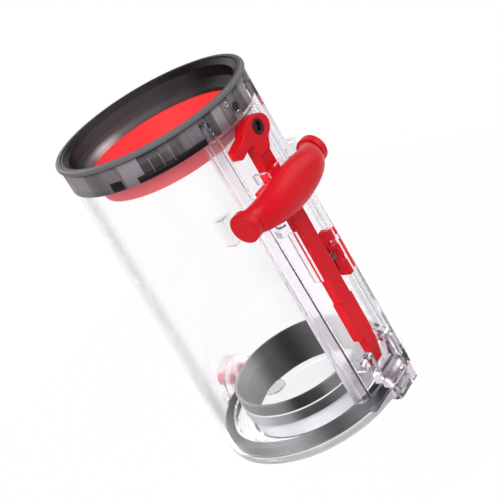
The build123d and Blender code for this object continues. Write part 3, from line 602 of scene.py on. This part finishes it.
def screw_surround(radius, low, high, finish):
    """Curved plate of the belt with a round hole for the front collar screw."""
    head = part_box("collar_screws")[1]
    centre = Vector((head.x - SCREW_HEAD, head.z - SCREW_HEAD))
    half = SCREW_HEAD + 0.0008
    hole = SCREW_HEAD + 0.0003
    steps = 48
    plate_tone = 0.55
    tiny = 1e-6
    inner, outer = [], []
    for index in range(steps):
        angle = math.tau * index / steps
        across, rise = math.cos(angle), math.sin(angle)
        inner.append(centre + Vector((across, rise)) * hole)
        limit_z = high - centre.y if rise > 0 else centre.y - low
        reach = min(half / max(abs(across), tiny), limit_z / max(abs(rise), tiny))
        outer.append(centre + Vector((across, rise)) * reach)
    points = []
    for depth in (radius - PLATE / 2, radius + PLATE / 2):
        for ring in (inner, outer):
            points += [(spot.x, -math.sqrt(depth ** 2 - spot.x ** 2), spot.y) for spot in ring]
    faces = []
    for index in range(steps):
        after = (index + 1) % steps
        rows = [(row * steps + index, row * steps + after) for row in range(4)]
        for near, far in ((0, 1), (3, 2), (2, 0), (1, 3)):
            faces.append((rows[near][0], rows[near][1], rows[far][1], rows[far][0]))
    mesh = bpy.data.meshes.new("screw_surround")
    mesh.from_pydata(points, [], faces)
    mesh.materials.append(finish)
    tone = mesh.attributes.new(TONE_NAME, "FLOAT", "POINT")
    tone.data.foreach_set("value", [plate_tone] * len(points))
    item = bpy.data.objects.new("screw_surround", mesh)
    bpy.context.scene.collection.objects.link(item)
    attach(item, "bin")


def flat_rings(name, group, finish, body, places, radius, width, thickness=RING):
    """Flat rings that face along Y, at one place or at two."""
    grown(name, group, body, {
        "Count": len(places), "First": places[0], "Step": places[-1] - places[0], "Radius": radius,
        "Width": width, "Thickness": thickness, "Finish": finish,
    })


def pressed_coil(name, node, group, along, wire, turns, finish):
    """Coil that stands for a straight CAD spring, which it hides."""
    low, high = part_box(node)
    middle = (low + high) / 2
    length = high[along] - low[along]
    across = (along + 1) % 3
    foot = middle.copy()
    foot[along] = low[along]
    place = foot.copy()
    place[along] += wire
    axis = Vector((0.0, 0.0, 0.0))
    axis[along] = 1.0
    lean = Vector((0.0, math.pi / 2 if along == 0 else 0.0, 0.0))
    coil = grown(name, group, "bin", {
        "Turns": turns, "Radius": (high[across] - low[across]) / 2 - wire, "Length": length - 2 * wire,
        "Wire": wire, "Place": place, "Lean": lean, "Finish": finish,
    })
    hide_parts(node)
    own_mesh(coil)


def lamp(name, place, aim, size, power):
    """Soft square lamp aimed at a point."""
    data = bpy.data.lights.new(name, "AREA")
    data.shape = "SQUARE"
    data.size = size
    data.energy = power
    item = bpy.data.objects.new(name, data)
    bpy.context.scene.collection.objects.link(item)
    item.location = place
    item.rotation_euler = (Vector(aim) - Vector(place)).to_track_quat("-Z", "Y").to_euler()


# Settings

class DUSTBIN_finishes(bpy.types.PropertyGroup):
    """Colours and gloss of the bin's own materials, with the painted shade and sheen on them."""

    clear_tint: bpy.props.FloatVectorProperty(
        name="Clear tint", description="Colour of the clear wall", subtype="COLOR",
        default=(0.993, 0.992, 0.995))
    # Painted shade: the wall greys towards the rails
    rail_painted_shade: bpy.props.FloatVectorProperty(
        name="Shade tint", description="Colour of the wall next to the rails", subtype="COLOR",
        default=(0.925, 0.925, 0.935))
    channel_tint: bpy.props.FloatVectorProperty(
        name="Channel tint", description="Colour of the rails' channel", subtype="COLOR",
        default=(0.955, 0.93, 0.965))
    # Painted shade: grey of the clear stop blocks
    block_painted_shade: bpy.props.FloatVectorProperty(
        name="Block tint", description="Colour of the stop blocks beside the rail", subtype="COLOR",
        default=(0.88, 0.885, 0.88))
    # Painted shade: grey of the clear catch
    catch_painted_shade: bpy.props.FloatVectorProperty(
        name="Catch tint", description="Colour of the catch", subtype="COLOR",
        default=(0.66, 0.62, 0.66))
    flap_tint: bpy.props.FloatVectorProperty(
        name="Flap tint", description="Colour of the clear flap", subtype="COLOR",
        default=(0.975, 0.963, 0.98))
    # Painted shade: grey of the lug on the flap's floor
    lug_painted_shade: bpy.props.FloatVectorProperty(
        name="Lug tint", description="Colour of the lug on the flap's floor", subtype="COLOR",
        default=(0.5, 0.49, 0.5))
    # Painted shade: grey of the flap's keeper block
    keeper_painted_shade: bpy.props.FloatVectorProperty(
        name="Keeper tint", description="Colour of the flap's keeper block", subtype="COLOR",
        default=(0.78, 0.75, 0.79))
    # Painted shade: colours that the clear plastic takes where its faces are seen along them
    wall_shade_at_edges: bpy.props.FloatVectorProperty(
        name="Wall edge", description="Colour of the wall seen along its face", subtype="COLOR",
        default=(0.962, 0.96, 0.966))
    flap_shade_at_edges: bpy.props.FloatVectorProperty(
        name="Flap edge", description="Colour of the flap seen along its face", subtype="COLOR",
        default=(0.95, 0.945, 0.955))
    clear_shade_at_edges: bpy.props.FloatVectorProperty(
        name="Clear edge", description="Colour of the rails, the catch and the lug seen along their faces",
        subtype="COLOR", default=(0.7, 0.68, 0.72))
    hood_cloud: bpy.props.FloatProperty(
        name="Hood cloud", description="Share of haze in the hinge hood", subtype="FACTOR", default=0.42)
    floor_cloud: bpy.props.FloatProperty(
        name="Floor cloud", description="Share of haze in the channel's floor", subtype="FACTOR",
        default=0.35)
    rim_cloud: bpy.props.FloatProperty(
        name="Rim cloud", description="Share of haze in the flap's rim", subtype="FACTOR", default=0.6)
    clear_haze: bpy.props.FloatProperty(
        name="Clear haze", description="Roughness of the clear plastic", subtype="FACTOR", default=0.05)
    flap_haze: bpy.props.FloatProperty(
        name="Flap haze", description="Roughness of the clear flap", subtype="FACTOR", default=0.09)
    clear_ior: bpy.props.FloatProperty(
        name="Clear index", description="Refraction of the clear plastic", default=1.2, min=1.0, max=2.0)
    clear_straight: bpy.props.FloatProperty(
        name="Clear straight", description="Share of light that goes straight through a slanted face",
        subtype="FACTOR", default=0.85)
    red: bpy.props.FloatVectorProperty(
        name="Red", description="Colour of the lever and rod", subtype="COLOR",
        default=(0.62, 0.006, 0.014))
    plug_red: bpy.props.FloatVectorProperty(
        name="Plug red", description="Colour of the hood's plugs", subtype="COLOR",
        default=(0.4, 0.09, 0.13))
    soft_red: bpy.props.FloatVectorProperty(
        name="Soft red", description="Colour of the wiper sleeve", subtype="COLOR",
        default=(0.93, 0.035, 0.04))
    # Painted shade on the sleeve's outside
    shaded_sleeve_red: bpy.props.FloatVectorProperty(
        name="Dull red", description="Colour of the sleeve's outside", subtype="COLOR",
        default=(0.6, 0.09, 0.11))
    # Painted shade on the rim's inner edge
    seal: bpy.props.FloatVectorProperty(
        name="Seal", description="Colour of the rim's inner edge", subtype="COLOR",
        default=(0.012, 0.01, 0.011))
    # Painted light on the rim's outside
    rim: bpy.props.FloatVectorProperty(
        name="Rim", description="Colour of the rim's outside", subtype="COLOR",
        default=(0.12, 0.115, 0.12))
    # Side in front, from which the painted sheen, highlights and shade are measured
    facing: bpy.props.FloatProperty(
        name="Facing", description="Angle round the bin that the sheen is measured from", subtype="ANGLE",
        default=math.radians(228.3))


class DUSTBIN_studio(bpy.types.PropertyGroup):
    """Camera and light of the stage."""

    focal: bpy.props.FloatProperty(
        name="Focal length", description="Lens of the camera", unit="CAMERA", default=89.35)
    distance: bpy.props.FloatProperty(
        name="Distance", description="Camera to aim point", unit="LENGTH", default=0.728)
    elevation: bpy.props.FloatProperty(
        name="Elevation", description="Camera height angle", subtype="ANGLE", default=math.radians(22.77))
    azimuth: bpy.props.FloatProperty(
        name="Azimuth", description="Turn round the bin", subtype="ANGLE", default=math.radians(-42.5))
    roll: bpy.props.FloatProperty(
        name="Roll", description="Lean of the bin in the picture", subtype="ANGLE",
        default=math.radians(30.57))
    aim_height: bpy.props.FloatProperty(
        name="Aim height", description="Height of the aim point", unit="LENGTH", default=0.0976)
    aim_shift: bpy.props.FloatVectorProperty(
        name="Aim shift", description="Aim point off the picture's middle", size=2, unit="LENGTH",
        default=(-0.004, -0.0123))
    ambient: bpy.props.FloatProperty(
        name="Ambient", description="Light from all round", default=0.32)


# Steps

class DUSTBIN_OT_clear_mouldings(bpy.types.Operator):
    """Finishes the clear shell, guide, catch and flap"""

    bl_idname = "dustbin.clear_mouldings"
    bl_label = "Clear mouldings"

    def execute(self, context):
        look = context.scene.dustbin_finishes
        # The channel's lilac is the wall's own colour; the rail shade and the stop blocks' grey are painted
        # shade
        dress(clear_plastic(
            "clear wall", look, look.clear_haze, relief=0.006, tint=look.clear_tint,
            edge=look.wall_shade_at_edges, edge_zone=channel_zone,
            zones=(
                (rail_shade_zone, look.rail_painted_shade),
                (channel_zone, look.channel_tint),
                (block_zone, look.block_painted_shade),
            ),
            clouds=((hood_zone, look.hood_cloud), (channel_floor_zone, look.floor_cloud)),
        ), "bin_shell", "rod_guide")
        # The catch's grey tint is painted shade
        dress(clear_plastic(
            "clear catch", look, look.clear_haze, relief=0.02, tint=look.catch_painted_shade, edge=look.clear_shade_at_edges,
        ), "latch_catch")
        # The flap's lilac is its own colour; the lug's and the keeper's grey are painted shade
        dress(clear_plastic(
            "clear flap", look, look.flap_haze, relief=0.004, tint=look.flap_tint,
            edge=look.flap_shade_at_edges, edge_zone=lug_zone,
            zones=((lug_zone, look.lug_painted_shade), (keeper_zone, look.keeper_painted_shade)),
            clouds=((flap_rim_zone, look.rim_cloud),),
        ), "base_flap")
        return {"FINISHED"}


class DUSTBIN_OT_dark_rings(bpy.types.Operator):
    """Finishes the funnel ring, rubber rims and cup ring, with painted highlights and shade"""

    bl_idname = "dustbin.dark_rings"
    bl_label = "Dark rings"

    def execute(self, context):
        look = context.scene.dustbin_finishes
        self.collar(look)
        self.base(look)
        return {"FINISHED"}

    # Painted highlights and shade, as tones by their share of the way round: to the camera 0 is behind, 0.25
    # left, 0.5 in front, 0.75 right

    def collar(self, look):
        # Funnel ring's wall: painted soft reflections and shade round the ring
        funnel_tones = (
            (0.0, 0.06), (0.1, 0.07), (0.17, 0.05), (0.22, 0.012), (0.27, 0.006), (0.5, 0.02),
            (0.74, 0.006), (0.86, 0.01), (0.93, 0.04), (1.0, 0.06))
        # Ledge: painted highlight, brightest towards the back left
        ledge_tones = (
            (0.0, 0.11), (0.06, 0.15), (0.12, 0.65), (0.18, 0.18), (0.23, 0.03), (0.5, 0.03),
            (0.78, 0.02), (0.86, 0.025), (0.94, 0.07), (1.0, 0.11))
        # Flange top: painted shade that darkens the lamp-lit top face
        top_tones = (
            (0.0, 0.03), (0.1, 0.035), (0.2, 0.012), (0.3, 0.008), (0.7, 0.004), (0.9, 0.006), (1.0, 0.03))
        low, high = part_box("funnel_ring")
        dress(sheen_painted_finish(
            "smoke plastic", funnel_tones, look.facing, roughness=0.3, specular=0.03, hue=(1.0, 0.86, 0.9),
            levels=(
                (low.z + 0.0055, low.z + 0.002, ledge_tones),
                (high.z - 0.0035, high.z - 0.0024, top_tones),
            ),
        ), "funnel_ring")
        # Rim: the outside painted lighter and the inner edge darker, as lit and shaded sides of one dark
        # rubber
        dress(ring_material(
            "rim rubber", "rim_seal", look.seal, look.rim, depth=0.0014, half=0.0005, lean=0.0,
        ), "rim_seal")

    def base(self, look):
        # Flap seal, cup and band: painted highlights and shade round the ring
        seal_tones = (
            (0.0, 0.05), (0.2, 0.03), (0.28, 0.04), (0.34, 0.14), (0.42, 0.22), (0.5, 0.04),
            (0.55, 0.12), (0.59, 0.015), (0.64, 0.015), (0.75, 0.1), (1.0, 0.05))
        cup_tones = (
            (0.0, 0.008), (0.06, 0.05), (0.145, 0.22), (0.3, 0.22), (0.4, 0.13), (0.46, 0.008),
            (0.5, 0.02), (0.545, 0.13), (0.66, 0.05), (0.8, 0.18), (0.9, 0.08), (1.0, 0.008))
        band_tones = (
            (0.0, 0.01), (0.25, 0.36), (0.335, 0.42), (0.4, 0.22), (0.457, 0.04), (0.5, 0.03),
            (0.56, 0.11), (0.7, 0.06), (1.0, 0.01))
        # Gasket seen through the flap: painted light and shade round the ring; the pale line above it is
        # nearly even
        skirt_tones = (
            (0.0, 0.6), (0.3, 0.78), (0.36, 0.76), (0.41, 0.59), (0.46, 0.65), (0.54, 0.62),
            (0.6, 0.82), (0.7, 0.7), (1.0, 0.6))
        line_tones = ((0.0, 0.6), (0.4, 0.58), (0.6, 0.56), (1.0, 0.6))
        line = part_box("ring_band")[1].z
        dress(sheen_painted_finish("seal rubber", seal_tones, look.facing, roughness=0.4, specular=0.05), "flap_seal")
        dress(sheen_painted_finish("cup plastic", cup_tones, look.facing, roughness=0.36, specular=0.04), "ring_cup")
        dress(sheen_painted_finish("band plastic", band_tones, look.facing, roughness=0.36, specular=0.05), "ring_band")
        dress(sheen_painted_finish(
            "pale gasket", skirt_tones, look.facing, roughness=0.6, specular=0.3, hue=(1.0, 1.0, 1.01),
            levels=((line - 0.0004, line - 0.0001, line_tones),),
        ), "ring_gasket")


class DUSTBIN_OT_belt_plates(bpy.types.Operator):
    """Sets smoky plates, a dark strip and pale seams round the collar, clear of the rails and the screw"""

    bl_idname = "dustbin.belt_plates"
    bl_label = "Belt plates"

    def execute(self, context):
        group = panel_group()
        gap = 0.0002
        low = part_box("funnel_ring")[0].z + gap
        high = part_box("rim_seal")[0].z - gap
        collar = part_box("funnel_ring")[1].x
        full = high - low
        middle = (low + high) / 2
        top = full * 0.19
        top_middle = high - top / 2
        behind = full * 0.76
        behind_middle = low + full * 0.39
        smoke = plate_material("belt smoke", (0.045, 0.04, 0.043), (0.25, 0.215, 0.24))
        black = moulded("strip black", (0.006, 0.005, 0.006), vary=0.2, roughness=0.4, specular=0.1)
        pale = moulded("seam grey", (0.2, 0.19, 0.2), vary=0.1, roughness=0.4)
        # Name, count, then step, start and sweep in degrees, stand, height, middle and finish
        pieces = (
            ("belt_plates", 26, 12.06, 293.2, 11.95, ON_RING, full, middle, smoke),
            ("belt_plates_left", 3, 6.4, 250.3, 6.3, ON_RING, full, middle, smoke),
            ("belt_plates_right", 2, 6.6, 276.4, 6.5, ON_RING, full, middle, smoke),
            ("belt_plates_top", 2, 42.8, 246.7, 3.7, ON_RING, top, top_middle, smoke),
            ("belt_plates_behind_left", 3, 6.0, 243.0, 5.9, BEHIND_RAILS, behind, behind_middle, smoke),
            ("belt_plates_behind_right", 6, 6.0, 285.5, 5.9, BEHIND_RAILS, behind, behind_middle, smoke),
            ("belt_strip", 1, 1.0, 206.0, 40.5, ON_PLATES, 0.0034, low + 0.0018, black),
            ("belt_mark", 1, 1.0, 189.5, 7.5, ON_PLATES, 0.0052, low + 0.0029, black),
            ("belt_seams", 3, 6.0, 216.0, 0.35, ON_PLATES, full * 0.6, middle, pale),
        )
        for name, count, step, start, sweep, stand, height, place, finish in pieces:
            grown(name, group, "bin", {
                "Count": count, "Step": math.radians(step), "Start": math.radians(start),
                "Sweep": math.radians(sweep), "Radius": collar + stand, "Height": height, "Thickness": PLATE,
                "Middle": place, "Seed": TONE_SEED, "Finish": finish,
            })
        screw_surround(collar + ON_RING, low, high, smoke)
        return {"FINISHED"}


class DUSTBIN_OT_red_parts(bpy.types.Operator):
    """Finishes the lever, rod, button, plugs and sleeve"""

    bl_idname = "dustbin.red_parts"
    bl_label = "Red parts"

    def execute(self, context):
        look = context.scene.dustbin_finishes
        dress(moulded(
            "red plastic", look.red, vary=0.08, roughness=0.3, relief=0.03, specular=0.12,
        ), "bin_lever", "push_rod", "release_button")
        dress(moulded(
            "plug plastic", look.plug_red, vary=0.1, roughness=0.45, specular=0.2,
        ), "hinge_plugs")
        # Sleeve: the outside painted darker and duller, as shade
        dress(ring_material(
            "red rubber", "wiper_sleeve", look.soft_red, look.shaded_sleeve_red, depth=0.00625, half=0.0002,
            lean=0.245,
        ), "wiper_sleeve")
        return {"FINISHED"}


class DUSTBIN_OT_metal_parts(bpy.types.Operator):
    """Finishes the screws, pins and springs, winds the pressed coils, sets rings round and beside the screws,
    and dark rings of painted shade round and in the head's pin hole
    """

    bl_idname = "dustbin.metal_parts"
    bl_label = "Metal parts"

    def execute(self, context):
        dress(moulded(
            "black oxide", (0.006, 0.006, 0.0065), vary=0.2, roughness=0.3, grain=2500.0, specular=0.25,
        ), "collar_screws", "lever_screws", "head_pin")
        dress(steel("ground steel", (0.62, 0.62, 0.64), roughness=0.28), "catch_pins", "hinge_pin")
        wire = steel("spring wire", (0.16, 0.155, 0.16), roughness=0.34)
        dress(wire, "return_spring", "catch_spring", "button_spring", "flap_spring")
        self.coils(wire)
        self.rings()
        return {"FINISHED"}

    def coils(self, finish):
        group = coil_group()
        pressed_coil(
            "return_coil", "return_spring", group, along=2, wire=0.00045, turns=6.0,
            finish=finish)
        pressed_coil(
            "button_coil", "button_spring", group, along=0, wire=0.00035, turns=3.0,
            finish=finish)

    def rings(self):
        group = ring_group()
        clip = steel("clip steel", (0.4, 0.39, 0.41), roughness=0.3)
        washer = steel("washer steel", (0.13, 0.125, 0.13), roughness=0.3)
        # Near-black finish for the painted shade in the head's pin hole
        hole_shade_finish = moulded("bush rubber", (0.012, 0.003, 0.003), vary=0.2, roughness=0.5, specular=0.2)
        low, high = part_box("collar_screws")
        proud = 0.0004
        front = Vector((high.x - SCREW_HEAD, low.y - proud, high.z - SCREW_HEAD))
        back = Vector((low.x + SCREW_HEAD, high.y + proud, high.z - SCREW_HEAD))
        beside = front + Vector((-0.0056, 0.0, 0.0046))
        flat_rings(
            "screw_rings", group, washer, "bin", (front, back), radius=SCREW_HEAD + 0.0006, width=0.0005)
        flat_rings("clip_ring", group, clip, "bin", (beside,), radius=0.0012, width=0.0007)
        pin_low, pin_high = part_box("head_pin")
        pin = (pin_low + pin_high) / 2
        pin_radius = pin_high.x - pin.x
        # Dark rings on the head's face and inside its hole: painted shade that widens the hole's dark
        inner_shade_middle = 0.00072
        on_head = Vector((pin.x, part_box("push_rod")[0].y - RING / 2, pin.z))
        on_pin = Vector((pin.x, pin_low.y - inner_shade_middle, pin.z))
        flat_rings(
            "head_hole_shade", group, hole_shade_finish, "actuator", (on_head,), radius=pin_radius + 0.0008, width=0.0014)
        flat_rings(
            "head_hole_inner_shade", group, hole_shade_finish, "actuator", (on_pin,), radius=pin_radius - 0.0002, width=0.0004,
            thickness=0.00135)


class DUSTBIN_OT_stage(bpy.types.Operator):
    """Lays the floor below the reach of the open flap, and sets the light and the camera"""

    bl_idname = "dustbin.stage"
    bl_label = "Stage"

    def execute(self, context):
        scene = context.scene
        studio = scene.dustbin_studio
        scene.view_settings.view_transform = "Standard"
        self.floor()
        self.light(scene, studio)
        self.camera(scene, studio)
        return {"FINISHED"}

    def floor(self):
        mesh = bpy.data.meshes.new("floor")
        half = 0.6
        drop = CAD_BOX[0].y - CAD_BOX[1].y
        corners = [(-half, -half, drop), (half, -half, drop), (half, half, drop), (-half, half, drop)]
        mesh.from_pydata(corners, [], [(0, 1, 2, 3)])
        item = bpy.data.objects.new("floor", mesh)
        bpy.context.scene.collection.objects.link(item)
        mesh.materials.append(floor_material())

    def light(self, scene, studio):
        world = bpy.data.worlds.new("studio")
        scene.world = world
        world.use_nodes = True
        tree = world.node_tree
        tree.nodes.clear()
        level = spread(tree, seen_directly(tree), studio.ambient, 1.0)
        sky = add_node(tree, "ShaderNodeBackground", Color=(1.0, 1.0, 1.0, 1.0), Strength=level)
        add_node(tree, "ShaderNodeOutputWorld", Surface=sky.outputs["Background"])
        lay_out(tree)
        middle = (0.0, 0.0, 0.1)
        lamp("key lamp", (-0.9, -0.5, 1.0), middle, size=0.8, power=14.0)
        lamp("fill lamp", (0.9, -0.9, 0.7), middle, size=1.0, power=8.0)
        lamp("back lamp", (0.3, 1.1, 0.9), middle, size=1.0, power=9.0)

    def camera(self, scene, studio):
        turn = Matrix.Rotation(studio.azimuth, 3, "Z")
        sine, cosine = math.sin(studio.elevation), math.cos(studio.elevation)
        across = turn @ Vector((1.0, 0.0, 0.0))
        rise = turn @ Vector((0.0, sine, cosine))
        back = turn @ Vector((0.0, -cosine, sine))
        right = across * math.cos(studio.roll) - rise * math.sin(studio.roll)
        up = across * math.sin(studio.roll) + rise * math.cos(studio.roll)
        place = Vector((0.0, 0.0, studio.aim_height)) + back * studio.distance
        place -= right * studio.aim_shift[0] + up * studio.aim_shift[1]
        data = bpy.data.cameras.new("photo camera")
        data.lens = studio.focal
        data.sensor_width = 36.0
        data.clip_start = 0.01
        item = bpy.data.objects.new("photo camera", data)
        scene.collection.objects.link(item)
        axes = Matrix((right, up, back)).transposed()
        item.matrix_world = Matrix.Translation(place) @ axes.to_4x4()
        scene.camera = item


class DUSTBIN_PT_panel(bpy.types.Panel):
    """Lists the steps that dress the bin"""

    bl_label = "Dust Bin"
    bl_idname = "DUSTBIN_PT_panel"
    bl_space_type = "VIEW_3D"
    bl_region_type = "UI"
    bl_category = "Dust Bin"

    def draw(self, context):
        for step in STEPS:
            self.layout.operator(step.bl_idname)


STEPS = (
    DUSTBIN_OT_clear_mouldings,
    DUSTBIN_OT_dark_rings,
    DUSTBIN_OT_belt_plates,
    DUSTBIN_OT_red_parts,
    DUSTBIN_OT_metal_parts,
    DUSTBIN_OT_stage,
)
CLASSES = (DUSTBIN_finishes, DUSTBIN_studio) + STEPS + (DUSTBIN_PT_panel,)


def register():
    for item in CLASSES:
        bpy.utils.register_class(item)
    bpy.types.Scene.dustbin_finishes = bpy.props.PointerProperty(type=DUSTBIN_finishes)
    bpy.types.Scene.dustbin_studio = bpy.props.PointerProperty(type=DUSTBIN_studio)


def unregister():
    del bpy.types.Scene.dustbin_studio
    del bpy.types.Scene.dustbin_finishes
    for item in reversed(CLASSES):
        bpy.utils.unregister_class(item)


def main():
    register()
    bpy.ops.dustbin.clear_mouldings()
    bpy.ops.dustbin.dark_rings()
    bpy.ops.dustbin.belt_plates()
    bpy.ops.dustbin.red_parts()
    bpy.ops.dustbin.metal_parts()
    bpy.ops.dustbin.stage()


if __name__ == "__main__":
    main()
